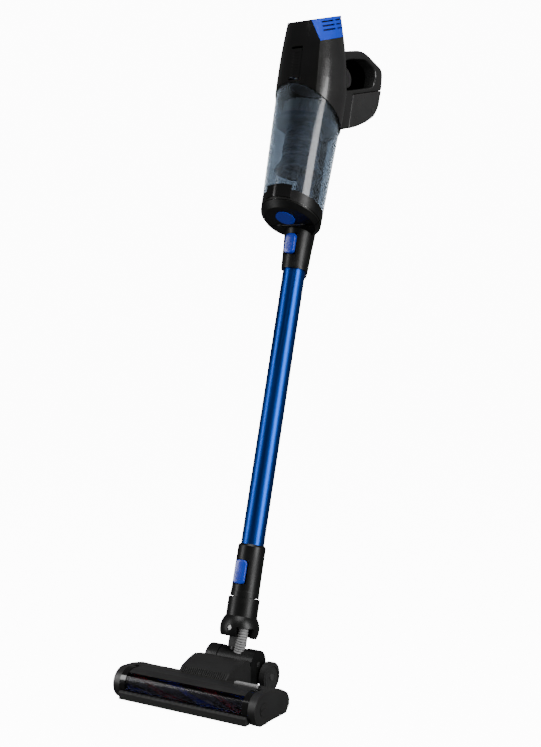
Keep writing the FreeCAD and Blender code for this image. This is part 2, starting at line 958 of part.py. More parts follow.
def above_base():
    """The room of the cup above the base, which the base's skirt stays out of."""
    return cut(cup_cone(-0.1), below_plane(BASE_HEIGHT, BASE_Y, BASE_SLOPE))


def build_lid():
    front = box((-80, -140, 600), (160, 140 + HINGE_Y + 2.5, 200))
    turn = base_turn()
    recess = tilted(0, -14, -FLOOR_DROP - 1)
    lid = cut(
        common(base_disc(), front),
        rod(16.2, 4.5, recess, turn),
        rod(13.9, 12, recess, turn),
        hinge_lugs(0.5),
        rod(5.3, 7, (-LUG_X - 6.5, HINGE_Y, HINGE_Z), "x"),
        rod(5.3, 7, (LUG_X - 0.5, HINGE_Y, HINGE_Z), "x"),
        rod(1.66, 80, (-40, HINGE_Y, HINGE_Z), "x"),
    )
    node("cup_lid", lid, WAND)
    button_at = tilted(0, -14, -FLOOR_DROP - 1)
    button = fuse(rod(15.7, 2.6, button_at, turn), rod(13.5, 7.5, button_at, turn))
    node("lid_button", button, WAND)
    node("lid_hinge_pin", rod(1.6, 48, (-24, HINGE_Y, HINGE_Z), "x"), WAND)


def base_turn():
    return Rotation(Vector(1, 0, 0), -math.degrees(math.atan(BASE_SLOPE)))


def tilted(x, y, z):
    """A point given in the slanted base's own frame."""
    point = base_turn().multVec(Vector(x, y, z))
    return (point.x, BASE_Y + point.y, BASE_HEIGHT + point.z)


CYCLONE_Y = -33


def build_cyclone():
    """Inlet duct, ribbed shroud with its flared skirt, filter frame and pleated filter."""
    duct = cut(
        rod(14, 88, (0, -7, 688)),
        rod(12.4, 100, (0, -7, 680)),
        below_plane(BASE_HEIGHT + 0.2, BASE_Y, BASE_SLOPE),
    )
    node("inlet_duct", duct, WAND)
    shroud_points = [(26, 776.4), (28, 776.4), (28, 780)]
    for rib in range(9):
        low = 781 + rib * 5.6
        shroud_points += [(29.6, low), (29.6, low + 3), (28, low + 3.4), (28, low + 5.2)]
    shroud_points += [(28, 836.6), (26, 836.6)]
    shroud = turned(shroud_points)
    shroud.Placement = Placement(Vector(0, CYCLONE_Y, 0), Rotation())
    skirt = turned(
        [
            (18, 776.5),
            (30, 776.5),
            (31, 772),
            (38, 762),
            (38, 758),
            (35.6, 758),
            (29, 770),
            (20, 772),
            (18, 772),
        ]
    )
    skirt.Placement = Placement(Vector(0, CYCLONE_Y, 0), Rotation())
    node("cyclone_shroud", cut(fuse(shroud, skirt), rod(14.3, 40, (0, -7, 750))), WAND)
    frame_part = cut(
        rod(50.6, 8, (0, -30.6, 837)),
        rod(46, 4, (0, -30.6, 841.2)),
        rod(22, 20, (0, CYCLONE_Y, 830)),
    )
    trimmed = common(frame_part, cup_cone(cup_wall + 0.3))
    node("filter_frame", trimmed, WAND)
    pleats = []
    count = 28
    for pleat in range(count):
        turn = 360.0 * pleat / count
        for radius, share in ((40.0, 0.0), (35.5, 0.5)):
            angle = math.radians(turn + 360.0 * share / count)
            pleats.append((radius * math.cos(angle), radius * math.sin(angle)))
    paper = plate("XY_Plane", pleats, 30, False, 841.6)
    paper.Placement = Placement(Vector(0, -31, 0), Rotation())
    node("pleated_filter", cut(paper, rod(24, 60, (0, -31, 830))), WAND)


def build_rail():
    """Rear rail that carries the head's wires past the cup."""
    rail = slab_x(
        [
            (17.6, 698.6),
            (24, 698.6),
            (31.4, 700),
            (34.4, 846),
            (31.2, 846),
            (29.4, 812),
            (26.4, 806),
        ],
        6,
    )
    node("rear_rail", cut(rail, cup_cone(-0.05)), WAND)
    catch = cut(
        common(
            cup_cone(-2.2),
            block(22, -120, -60, 0, 800),
            below_plane(BASE_HEIGHT + 24, BASE_Y, BASE_SLOPE),
        ),
        cup_cone(-0.05),
        below_plane(BASE_HEIGHT + 4, BASE_Y, BASE_SLOPE),
    )
    node("lid_catch", catch, WAND)


# ---- motor body ----
# the motor body's round sections: height, centre Y, radius
BODY_SECTIONS = [
    (790, -30.8, 53.8),
    (850, -29.8, 55.9),
    (889, -30.3, 57.0),
    (905, -31.5, 56.8),
    (920, -33.4, 55.9),
    (935, -35.8, 54.6),
    (950, -38.4, 52.9),
    (965, -41.1, 51.0),
    (980, -43.9, 48.7),
    (1000, -47.8, 45.2),
    (1020, -51.7, 41.7),
    (1050, -57.5, 36.6),
]
TOP_HEIGHT, TOP_Y, TOP_SLOPE = 991, -91, 0.6
TOP_TURN = Rotation(Vector(1, 0, 0), math.degrees(math.atan(TOP_SLOPE)))
BAND_DROP = 38


def body_form(shrink=0.0):
    """The motor body's round form, lofted through circles that lean forward as it rises."""
    body = doc.addObject("PartDesign::Body", "Form")
    sketches = []
    for height, back, radius in BODY_SECTIONS:
        sketch = body.newObject("Sketcher::SketchObject", "Section")
        sketch.AttachmentSupport = [(origin_plane(body, "XY_Plane"), "")]
        sketch.MapMode = "FlatFace"
        sketch.AttachmentOffset = Placement(Vector(0, 0, height), Rotation())
        sketch.addGeometry(Part.Circle(Vector(0, back, 0), Vector(0, 0, 1), radius - shrink), False)
        sketch.addConstraint(Sketcher.Constraint("Radius", 0, radius - shrink))
        sketch.addConstraint(Sketcher.Constraint("PointOnObject", 0, 3, -2))
        sketch.addConstraint(Sketcher.Constraint("DistanceY", -1, 1, 0, 3, back))
        sketches.append(sketch)
    loft = body.newObject("PartDesign::AdditiveLoft", "Loft")
    loft.Profile = sketches[0]
    loft.Sections = sketches[1:]
    loft.Ruled = True
    plain(loft)
    return body


def below_top(drop=0.0):
    return below_plane(TOP_HEIGHT - drop, TOP_Y, -TOP_SLOPE)


def below_seam():
    return below_plane(SEAM_HEIGHT, SEAM_Y, SEAM_SLOPE, SEAM_SIDE)


def build_body():
    """Front panel, vent grille, motor housing and the cup's release slide."""
    form = body_form()
    inner = plain(common(body_form(shell_wall.value), below_top(shell_wall.value + 0.6)))
    shell = plain(cut(plain(common(form, below_top())), inner))
    shell = plain(cut(shell, below_seam()))
    outline = [
        (-41, 1060),
        (14, 1060),
        (14, 1000),
        (33, 961),
        (35.5, 890),
        (35.5, 780),
        (-35.5, 780),
        (-35.5, 890),
        (-36.5, 961),
        (-41, 1000),
    ]
    panel_zone = front_prism(outline)
    groove = 0.35
    wide = [(u + math.copysign(groove, u), v) for u, v in outline]
    panel_room = front_prism(wide)
    slide_room = block(9.9, -130, -60, 893.4, 948.6)
    node("front_panel", plain(cut(plain(common(shell, panel_zone)), slide_room)), WAND)
    rest = plain(cut(shell, panel_room))
    band_low = below_top(BAND_DROP)
    slots = vent_slots()
    node("vent_grille", plain(cut(plain(cut(rest, band_low)), *slots)), WAND)
    node("motor_housing", plain(common(rest, below_top(BAND_DROP + 0.35))), WAND)
    skin = cut(
        common(body_form(-0.7), block(9.4, -130, -60, 897.6, 944.5)),
        body_form(1.6),
    )
    node("cup_release_slide", skin, WAND)


def front_prism(outline):
    """An XZ outline carried through the front half of the body."""
    body = plate("XZ_Plane", outline, 60)
    body.Placement = Placement(Vector(0, -58, 0), Rotation())
    return body


def vent_slots():
    """Rows of curved slots that run round the sloped top band."""
    slots = []
    centre = Vector(0, -51, 1015)
    for drop in (12.0, 18.4, 24.8):
        at = centre + TOP_TURN.multVec(Vector(0, 0, -drop + 5.4))
        for start in (18, 50, 82, 114):
            for first in (-90 + start + 22, 270 - start - 22 - 26):
                spin = Rotation(Vector(0, 0, 1), first)
                slots.append(rod(80, 2.4, tuple(at), TOP_TURN.multiply(spin), 26))
    return slots


MOTOR_AXIS_Y = -37


def build_motor():
    """Suction motor, its fan and shaft, the mount and the control board."""
    can = cut(
        fuse(
            rod(26, 44, (0, MOTOR_AXIS_Y, 918)),
            rod(9, 4, (0, MOTOR_AXIS_Y, 962)),
        ),
        rod(2.55, 60, (0, MOTOR_AXIS_Y, 912)),
    )
    node("suction_motor", can, WAND)
    blades = [fan_blade(i * 360.0 / 9) for i in range(9)]
    fan = fuse(
        rod(31, 1.6, (0, MOTOR_AXIS_Y, 900)),
        rod(6.5, 11, (0, MOTOR_AXIS_Y, 900)),
        *blades,
    )
    node("fan_wheel", fuse(fan, rod(2.5, 69, (0, MOTOR_AXIS_Y, 898))), WAND)
    air_holes = []
    for turn in range(0, 360, 45):
        spoke = Rotation(Vector(0, 0, 1), turn).multVec(Vector(37.3, 0, 925))
        air_holes.append(rod(6.5, 20, (spoke.x, MOTOR_AXIS_Y + spoke.y, spoke.z)))
    mount = cut(
        rod(48.6, 5, (0, MOTOR_AXIS_Y - 0.6, 931)),
        rod(26.05, 20, (0, MOTOR_AXIS_Y, 920)),
        *air_holes,
    )
    inside = body_form(shell_wall.value + 0.3)
    slide_space = block(11, -130, -83, 890, 952)
    node("motor_mount", cut(common(mount, inside), slide_space), WAND)
    node("control_board", block(19, -61, -23, 971, 972.6), WAND)


def fan_blade(turn):
    """One curved blade of the fan."""
    spin = Rotation(Vector(0, 0, 1), turn)
    base = Vector(0, MOTOR_AXIS_Y, 0)
    corner = base + spin.multVec(Vector(6, 3, 901.5))
    return box(tuple(corner), (23, 1.3, 8.5), spin.multiply(Rotation(Vector(0, 0, 1), 12)))


# ---- handle ----
STRIP_SLOPE = 0.523


def strip_line(y, drop):
    """Height of the finger loop's floor at a place, less a drop."""
    return 932 + (y - 44) * STRIP_SLOPE - drop


def handle_outline():
    return [
        (-8, 984),
        (10, 988),
        (20, 991),
        (41, 1002),
        (67, 1015),
        (86, 1020.5),
        (152, 1019.5),
        (158, 1012),
        (159, 990),
        (158, strip_line(158, 8.6)),
        (66, strip_line(66, 8.6)),
        (66, 874),
        (51, 867),
        (26, 853),
        (5, 852),
        (5, 930),
    ]


def loop_outline():
    return [
        (22, 973),
        (45, 989),
        (60, 997.4),
        (92, 1010),
        (122, 1010),
        (130, 1002),
        (132, strip_line(132, 0)),
        (60, strip_line(60, 0)),
        (44, 932),
        (30, 936),
        (24, 946),
    ]


TRIGGER_PIVOT = (31, 979)


def build_handle():
    """The grip's two halves round the finger loop, fitted against the motor body."""
    solid = slab_x(handle_outline(), grip_half)
    soft = rounded(solid, 4.5, lambda edge: handle_edge(edge, grip_half.value))
    loop = slab_x(loop_outline(), 60)
    clear = body_form(-0.05)
    whole = cut(
        soft,
        loop,
        clear,
        block(8.6, 18, 50, 955, 988),
        rod(1.6, 30, (-15, *TRIGGER_PIVOT), "x"),
    )
    hollow_grip = slab_x([(137, 985), (137, 1004), (152, 1004), (152, 985)], 15)
    shell = cut(whole, hollow_grip)
    node("handle_left", common(shell, block_side(-1)), WAND)
    node("handle_right", common(shell, block_side(1)), WAND)


def handle_edge(edge, half):
    """Long outer edges on the handle's two side faces."""
    box_of = edge.BoundBox
    flat = box_of.XLength < 1e-6
    outer = abs(abs(box_of.XMin) - half) < 1e-6
    return flat and outer and box_of.YMin > 15 and box_of.ZMin > 1000


def block_side(sign):
    low = 0.05 if sign > 0 else -80
    return box((low, -60, 800), (79.95, 300, 300))


def build_trigger():
    paddle = slab_x(
        [
            (26, 975),
            (27.5, 983),
            (34.5, 983.4),
            (44, 979.5),
            (62, 979.5),
            (72, 976),
            (77, 969),
            (77, 956),
            (72, 949.5),
            (62, 945),
            (50, 942),
            (42, 944),
            (34, 952),
            (27, 966),
        ],
        8,
    )
    node("trigger", cut(paddle, rod(1.66, 40, (-20, *TRIGGER_PIVOT), "x")), WAND)
    node("trigger_pin", rod(1.6, 28, (-14, *TRIGGER_PIVOT), "x"), WAND)


def build_battery():
    outline = [
        (66.5, strip_line(66.5, 9.1)),
        (157.5, strip_line(157.5, 9.1)),
        (158, 957),
        (154, 941),
        (146, 929),
        (134, 918),
        (118, 907),
        (94, 890),
        (66.5, 874.4),
    ]
    hollow = slab_x(
        [
            (70, strip_line(70, 12.5)),
            (152, strip_line(152, 12.5)),
            (152, 957),
            (141, 930),
            (94, 894.5),
            (70, 880.6),
        ],
        18,
    )
    button_holes = rod(5.4, 60, (-30, 138, 938), "x")
    case = cut(rounded_side(outline), hollow, button_holes)
    node("battery_case", case, WAND)
    cells = []
    for row in range(2):
        for column in range(3):
            y = 82 + column * 20
            z = 899 + column * 14.2 + row * 19
            cells.append(rod(9, 34, (-17, y, z), "x"))
    node("battery_cells", group(*cells), WAND)
    for side, low in (("left", -21.6), ("right", 14.6)):
        node(f"battery_button_{side}", rod(5, 7, (low, 138, 938), "x"), WAND)


def rounded_side(outline):
    """A plate with the grip's width and softened side edges at its foot."""
    solid = slab_x(outline, grip_half)
    half = grip_half.value

    def picked(edge):
        box_of = edge.BoundBox
        flat = box_of.XLength < 1e-6
        outer = abs(abs(box_of.XMin) - half) < 1e-6
        return flat and outer and box_of.ZMax < 960 and box_of.YLength > 2

    return rounded(solid, 4.0, picked)


def main():
    build_window()
    build_window_blocks()
    build_base()
    build_deck()
    build_centre()
    build_caps()
    build_bumper()
    build_sole()
    build_brush()
    build_drive()
    build_bearing()
    build_latch()
    build_yoke()
    build_wheels()
    build_cradle()
    build_hose()
    build_swivel()
    build_wand()
    build_cup()
    build_base_ring()
    build_lid()
    build_cyclone()
    build_rail()
    build_body()
    build_motor()
    build_handle()
    build_trigger()
    build_battery()
    finish()


def finish():
    """Check every object, then write each node."""
    doc.recompute()
    for thing in doc.Objects:
        if "Invalid" in thing.State or "Error" in thing.State:
            raise RuntimeError(f"{thing.Name} {thing.Label} failed: {thing.State}")
    os.makedirs("parts", exist_ok=True)
    for thing in nodes:
        shape = thing.Shape
        if shape.isNull() or not shape.isValid() or not shape.Solids:
            raise RuntimeError(f"{thing.Label} has no valid solid")
        shape.exportStep(f"parts/{thing.Label}.step")
        print(f"{thing.Label}: {len(shape.Solids)} solid(s), {shape.Volume / 1000:.1f} cm3")
    print(f"{len(nodes)} nodes")


main()
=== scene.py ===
import json
import math
import random

import bmesh
import bpy
from mathutils import Matrix, Vector


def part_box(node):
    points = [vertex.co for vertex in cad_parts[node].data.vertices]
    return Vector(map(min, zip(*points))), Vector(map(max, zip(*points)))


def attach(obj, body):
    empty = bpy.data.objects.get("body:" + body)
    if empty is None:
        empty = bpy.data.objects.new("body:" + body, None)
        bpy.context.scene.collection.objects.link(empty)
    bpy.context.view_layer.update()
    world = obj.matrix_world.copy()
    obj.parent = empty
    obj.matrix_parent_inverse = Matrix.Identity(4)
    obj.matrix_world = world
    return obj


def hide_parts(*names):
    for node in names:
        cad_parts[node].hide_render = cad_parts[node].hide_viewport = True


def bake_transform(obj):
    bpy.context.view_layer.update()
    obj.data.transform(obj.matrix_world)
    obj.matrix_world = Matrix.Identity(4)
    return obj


# A cordless stick vacuum: floor head, swivelling neck, metal wand, clear dust cup, motor body and handle.
# Metres. The wand side is described in millimetres in its own upright frame and leaned back by wand().

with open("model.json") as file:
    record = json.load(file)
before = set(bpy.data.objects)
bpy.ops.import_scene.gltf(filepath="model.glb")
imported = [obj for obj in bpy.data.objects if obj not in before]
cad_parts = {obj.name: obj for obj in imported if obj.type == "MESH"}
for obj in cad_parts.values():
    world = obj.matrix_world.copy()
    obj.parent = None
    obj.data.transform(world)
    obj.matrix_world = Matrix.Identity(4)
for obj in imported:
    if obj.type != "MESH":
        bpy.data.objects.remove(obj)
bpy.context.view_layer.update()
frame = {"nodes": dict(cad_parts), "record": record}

NODES = frame["nodes"]
NODE_SLOT = {part["node"]: part["material_slot"] for part in frame["record"]["subparts"]}

MM = 0.001
LEAN = math.radians(16.3)
PIVOT = Vector((0, 97.5, 43)) * MM
WAND = Matrix.Translation(PIVOT) @ Matrix.Rotation(-LEAN, 4, "X")


# ---- materials ----
class Look:
    """A principled material with its own small node set."""

    def __init__(self, name, **sockets):
        self.material = bpy.data.materials.new(name)
        self.material.use_nodes = True
        self.nodes = self.material.node_tree.nodes
        self.links = self.material.node_tree.links
        self.shader = self.nodes["Principled BSDF"]
        self.coords = self.nodes.new("ShaderNodeTexCoord")
        for label, value in sockets.items():
            self.shader.inputs[label.replace("_", " ")].default_value = value

    def noise(self, scale, detail=4.0, stretch=(1, 1, 1), turn=0.0):
        """Noise in object space, drawn out by a stretch along axes that are turned about X."""
        place = self.nodes.new("ShaderNodeMapping")
        place.vector_type = "TEXTURE"
        place.inputs["Scale"].default_value = stretch
        place.inputs["Rotation"].default_value = (turn, 0, 0)
        node = self.nodes.new("ShaderNodeTexNoise")
        node.inputs["Scale"].default_value = scale
        node.inputs["Detail"].default_value = detail
        self.links.new(self.coords.outputs["Object"], place.inputs["Vector"])
        self.links.new(place.outputs["Vector"], node.inputs["Vector"])
        return node.outputs["Fac"]

    def ramp(self, value, low, high, start=0.3, end=0.7):
        """Turn a value into a colour between low and high."""
        node = self.nodes.new("ShaderNodeValToRGB")
        node.color_ramp.elements[0].position = start
        node.color_ramp.elements[1].position = end
        node.color_ramp.elements[0].color = as_colour(low)
        node.color_ramp.elements[1].color = as_colour(high)
        self.links.new(value, node.inputs["Fac"])
        return node.outputs["Color"]

    def colour(self, value):
        self.links.new(value, self.shader.inputs["Base Color"])

    def roughness(self, value):
        self.links.new(value, self.shader.inputs["Roughness"])

    def bump(self, value, strength, distance=0.0003):
        node = self.nodes.new("ShaderNodeBump")
        node.inputs["Strength"].default_value = strength
        node.inputs["Distance"].default_value = distance
        self.links.new(value, node.inputs["Height"])
        self.links.new(node.outputs["Normal"], self.shader.inputs["Normal"])


def as_colour(value):
    if isinstance(value, (int, float)):
        return (value, value, value, 1)
    return (*value, 1)


def moulded(name, dark, light, rough_low, rough_high, grain=0.0, **sockets):
    """A moulded plastic: slight shade and gloss variation, with an optional fine grain."""
    look = Look(name, **sockets)
    look.colour(look.ramp(look.noise(18, 3), dark, light))
    look.roughness(look.ramp(look.noise(60, 5), rough_low, rough_high))
    if grain:
        look.bump(look.noise(2600, 2), grain, 0.00008)
    return look.material


def anodised():
    """Blue anodised tube: fine drawn lines along the wand."""
    look = Look("anodised_blue", Metallic=1.0, Anisotropic=0.3)
    streaks = look.noise(900, 2, (1, 1, 120), -LEAN)
    look.colour(look.ramp(streaks, (0.006, 0.042, 0.26), (0.009, 0.058, 0.34)))
    look.roughness(look.ramp(streaks, 0.30, 0.36))
    return look.material


def smoked(name, tint, rough, skin):
    """Clear smoky plastic with a glossy skin and faint handling haze."""
    look = Look(name, Transmission_Weight=1.0, IOR=1.07, Coat_Weight=skin, Coat_Roughness=0.14)
    look.colour(look.ramp(look.noise(14, 2), tint, tuple(min(1, c * 1.06) for c in tint)))
    look.roughness(look.ramp(look.noise(45, 5), rough, rough + 0.03))
    return look.material


def fibre(name, dark, light):
    """Matt bristle fibre with colour that varies from strand to strand."""
    look = Look(name, Specular_IOR_Level=0.2)
    look.colour(look.ramp(look.noise(900, 2), dark, light))
    look.roughness(look.ramp(look.noise(300, 2), 0.45, 0.7))
    return look.material


def rubber(name, dark, light):
    """Matt rubber or soft plastic with a fine pitted grain."""
    look = Look(name)
    look.colour(look.ramp(look.noise(40, 4), dark, light))
    look.roughness(look.ramp(look.noise(220, 4), 0.55, 0.75))
    look.bump(look.noise(1800, 3), 0.25, 0.0001)
    return look.material


def metal(name, dark, light, rough):
    """Bare metal with fine variation in its gloss."""
    look = Look(name, Metallic=1.0)
    look.colour(look.ramp(look.noise(90, 3), dark, light))
    look.roughness(look.ramp(look.noise(700, 2, (1, 1, 0.05)), rough, rough + 0.12))
    return look.material


BLUE_LOW = (0.010, 0.036, 0.42)
BLUE_HIGH = (0.014, 0.050, 0.52)

LOOKS = {
    "black_gloss": moulded("black_gloss", 0.003, 0.005, 0.06, 0.11),
    "dark_shell": moulded("dark_shell", 0.012, 0.018, 0.18, 0.26, Coat_Weight=0.2),
    "battery_shell": moulded("battery_shell", 0.020, 0.028, 0.26, 0.36),
    "black_satin": moulded("black_satin", 0.002, 0.004, 0.34, 0.44, 0.1, Specular_IOR_Level=0.3),
    "head_black": moulded("head_black", 0.010, 0.015, 0.34, 0.44, 0.1),
    "bumper_rubber": rubber("bumper_rubber", 0.006, 0.010),
    "hose_grey": rubber("hose_grey", 0.18, 0.28),
    "blue_plastic": moulded("blue_plastic", BLUE_LOW, BLUE_HIGH, 0.16, 0.24),
    "blue_anodised": anodised(),
    "smoky_clear": smoked("smoky_clear", (0.078, 0.094, 0.112), 0.01, 1.0),
    # Window tint: partly its own smoke, partly darkened further as painted shade for the floor under the
    # head, which glows here instead of lying in shadow
    "window_clear": smoked("window_clear", (0.060, 0.060, 0.082), 0.01, 0.22),
    "grey_clear": moulded("grey_clear", 0.22, 0.30, 0.2, 0.3),
    "trigger_grey": moulded("trigger_grey", 0.02, 0.03, 0.28, 0.38, 0.2),
    "bristle_blue": fibre("bristle_blue", (0.01, 0.03, 0.70), (0.02, 0.06, 0.95)),
    "bristle_red": fibre("bristle_red", (0.60, 0.008, 0.03), (0.90, 0.02, 0.06)),
    "brush_core_dark": moulded("brush_core_dark", 0.004, 0.007, 0.35, 0.45),
    "wheel_black": rubber("wheel_black", 0.006, 0.012),
    "steel": metal("steel", 0.30, 0.42, 0.24),
    "motor_metal": metal("motor_metal", 0.35, 0.48, 0.3),
    "belt_rubber": rubber("belt_rubber", 0.004, 0.008),
    "inner_dark": moulded("inner_dark", (0.13, 0.15, 0.18), (0.18, 0.20, 0.24), 0.3, 0.4),
    "filter_paper": rubber("filter_paper", 0.30, 0.40),
    "board_green": moulded("board_green", (0.01, 0.10, 0.04), (0.02, 0.16, 0.06), 0.3, 0.4),
    "cell_wrap": moulded("cell_wrap", (0.03, 0.18, 0.26), (0.05, 0.24, 0.34), 0.2, 0.3),
}


def dress_cad():
    """Give every carried-over CAD node the material of its slot."""
    for name, thing in NODES.items():
        thing.data.materials.clear()
        thing.data.materials.append(LOOKS[NODE_SLOT[name]])


# ---- mesh building ----
def wand(x, y, z):
    """A point of the wand's own upright frame, in millimetres, as a place in the world."""
    return WAND @ (Vector((x, y, z)) * MM)


def finish_piece(name, mesh, slot, smooth=35):
    """Finish a mesh given in world metres: shading, material and slot."""
    mesh.shade_smooth()
    mesh.set_sharp_from_angle(angle=math.radians(smooth))
    mesh.materials.clear()
    mesh.materials.append(LOOKS[slot])
    thing = bpy.data.objects.new(name, mesh)
    bpy.context.scene.collection.objects.link(thing)
    return thing


def add_piece(name, mesh, slot, body, *replaced, smooth=35):
    """A finished piece that rides on one body."""
    thing = finish_piece(name, mesh, slot, smooth)
    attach(thing, body)
    if replaced:
        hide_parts(*replaced)
    return thing


def rounded_outline(points, radius, steps=5):
    """Corners of a closed outline turned into arcs; a third number is that corner's own radius."""
    result = []
    count = len(points)
    for index in range(count):
        before, corner, after = (Vector(points[(index + k) % count][:2]) for k in (-1, 0, 1))
        to_before, to_after = before - corner, after - corner
        wanted = points[index][2] if len(points[index]) > 2 else radius
        reach = min(wanted, to_before.length * 0.49, to_after.length * 0.49)
        first = corner + to_before.normalized() * reach
        last = corner + to_after.normalized() * reach
        for step in range(steps + 1):
            t = step / steps
            result.append((1 - t) ** 2 * first + 2 * t * (1 - t) * corner + t * t * last)
    return result


def crowned_plate(outlines, half, edge, at=Matrix.Identity(4), steps=3):
    """A plate with rolled edges, from closed (u, v) loops in millimetres: the outer one, then any holes."""
    curve = bpy.data.curves.new("plate", "CURVE")
    curve.dimensions = "2D"
    curve.fill_mode = "BOTH"
    curve.extrude = (half - edge) * MM
    curve.bevel_depth = edge * MM
    curve.bevel_resolution = steps
    curve.offset = -edge * MM
    for outline in outlines:
        spline = curve.splines.new("POLY")
        spline.points.add(len(outline) - 1)
        for point, (u, v) in zip(spline.points, outline):
            point.co = (u * MM, v * MM, 0, 1)
        spline.use_cyclic_u = True
    holder = bpy.data.objects.new("plate", curve)
    bpy.context.scene.collection.objects.link(holder)
    bpy.context.view_layer.update()
    graph = bpy.context.evaluated_depsgraph_get()
    mesh = bpy.data.meshes.new_from_object(holder.evaluated_get(graph))
    bpy.data.objects.remove(holder)
    tool = bmesh.new()
    tool.from_mesh(mesh)
    bmesh.ops.remove_doubles(tool, verts=tool.verts, dist=0.00002)
    bmesh.ops.recalc_face_normals(tool, faces=tool.faces)
    tool.to_mesh(mesh)
    tool.free()
    mesh.transform(at)
    return mesh


# (u, v) of a plate become the wand frame's (y, z), or its (x, z) facing the front
SIDE_ON = WAND @ Matrix(((0, 0, 1, 0), (1, 0, 0, 0), (0, 1, 0, 0), (0, 0, 0, 1)))


def facing_front(y):
    """Plates whose outline lies in the wand's (x, z), with their middle at a given y."""
    shift = Matrix.Translation(Vector((0, y * MM, 0)))
    turn = Matrix(((1, 0, 0, 0), (0, 0, -1, 0), (0, 1, 0, 0), (0, 0, 0, 1)))
    return WAND @ shift @ turn


def keep_side(mesh, sign):
    """Cut a mesh at the YZ plane, keep one side and close it."""
    tool = bmesh.new()
    tool.from_mesh(mesh)
    geometry = tool.verts[:] + tool.edges[:] + tool.faces[:]
    cut = bmesh.ops.bisect_plane(
        tool, geom=geometry, plane_co=(sign * 0.00005, 0, 0), plane_no=(-sign, 0, 0), clear_outer=True
    )
    rim = [item for item in cut["geom_cut"] if isinstance(item, bmesh.types.BMEdge)]
    bmesh.ops.holes_fill(tool, edges=rim)
    bmesh.ops.recalc_face_normals(tool, faces=tool.faces)
    half = bpy.data.meshes.new("half")
    tool.to_mesh(half)
    tool.free()
    return half


def bars(places, at=Matrix.Identity(4)):
    """Small bars with bevelled edges: each is (centre, half sizes, turn about X), in millimetres."""
    tool = bmesh.new()
    for centre, half, turn in places:
        shape = Matrix.Translation(Vector(centre) * MM) @ Matrix.Rotation(turn, 4, "X")
        shape = shape @ Matrix.Diagonal((*[2 * side * MM for side in half], 1))
        bmesh.ops.create_cube(tool, size=1, matrix=shape)
    thinnest = min(min(half) for _, half, _ in places)
    bmesh.ops.bevel(tool, geom=tool.edges[:], offset=thinnest * 0.45 * MM, segments=2, affect="EDGES")
    mesh = bpy.data.meshes.new("bars")
    tool.to_mesh(mesh)
    tool.free()
    mesh.transform(at)
    return mesh


# ---- handle ----
STRIP_SLOPE = 0.523


def strip_line(y, drop):
    """Height of the finger loop's floor, less a drop."""
    return 932 + (y - 44) * STRIP_SLOPE - drop


HANDLE = [
    (-6, 986),
    (20, 991),
    (41, 1002),
    (67, 1015),
    (88, 1020.5),
    (154, 1019.2),
    (159, 988),
    (158, strip_line(158, 8.6), 2),
    (66, strip_line(66, 8.6), 2),
    (66, 874),
    (51, 867),
    (28, 853),
    (19, 852),
    (19, 905),
    (10, 940),
]
LOOP = [
    (24, 975),
    (45, 989),
    (92, 1010),
    (124, 1009),
    (131.5, 1000),
    (132, strip_line(132, 0)),
    (60, strip_line(60, 0)),
    (44, 932),
    (27, 938),
]
BATTERY = [
    (66.5, strip_line(66.5, 8.75), 2),
    (157.8, strip_line(157.8, 8.75), 2),
    (157, 952),
    (146, 930),
    (121.5, 909),
    (94, 890),
    (66.5, 874.4),
]
TRIGGER = [
    (26, 975),
    (28, 983.4),
    (44, 979.5),
    (64, 979.5),
    (77, 970),
    (77, 954),
    (62, 944.5),
    (44, 942),
    (27, 966),
]
GRIP_HALF = 21


def build_handle():
    """Handle halves, battery case and trigger with rolled edges."""
    outer = rounded_outline(HANDLE, 13)
    inner = rounded_outline(LOOP, 9)
    whole = crowned_plate([outer, inner], GRIP_HALF, 3.4, SIDE_ON)
    for side, sign in (("left", -1), ("right", 1)):
        add_piece(f"handle_shell_{side}", keep_side(whole, sign), "dark_shell", "handheld", f"handle_{side}")
    case = crowned_plate([rounded_outline(BATTERY, 8)], GRIP_HALF, 1.9, SIDE_ON)
    add_piece("battery_shell", case, "battery_shell", "battery", "battery_case")
    paddle = crowned_plate([rounded_outline(TRIGGER, 9)], 8, 3.2, SIDE_ON)
    add_piece("trigger_paddle", paddle, "trigger_grey", "trigger", "trigger")


# ---- wand buttons ----
def build_buttons():
    """Push buttons in the sleeves: a rounded pad with grip ridges."""
    for name, centre, width, height, front, back in (
        ("lower", 130, 20, 36, -25.4, -20.6),
        ("upper", 646, 18, 32.5, -27.4, -20.8),
    ):
        half_w, half_h = width / 2, height / 2
        outline = [
            (-half_w, centre - half_h),
            (half_w, centre - half_h),
            (half_w, centre + half_h),
            (-half_w, centre + half_h),
        ]
        depth = (back - front) / 2
        pad = crowned_plate([rounded_outline(outline, 7, 8)], depth, 1.5, facing_front((front + back) / 2))
        add_piece(f"{name}_pad", pad, "blue_plastic", f"{name}_button", f"{name}_release_button")
        ridges = []
        for step in range(5):
            height_at = centre - half_h * 0.62 + step * 2.6
            ridges.append(((0, front - 0.05, height_at), (half_w * 0.55, 0.5, 0.55), 0))
        add_piece(f"{name}_pad_ridges", bars(ridges, WAND), "blue_plastic", f"{name}_button")


# ---- cup and body details ----
LID_POINT = (0, -33, 684)
LID_NORMAL = (0, 0.29, 1)
COLLAR_FOOT, COLLAR_TOP, COLLAR_SWELL = 0.9, 17, 0.45


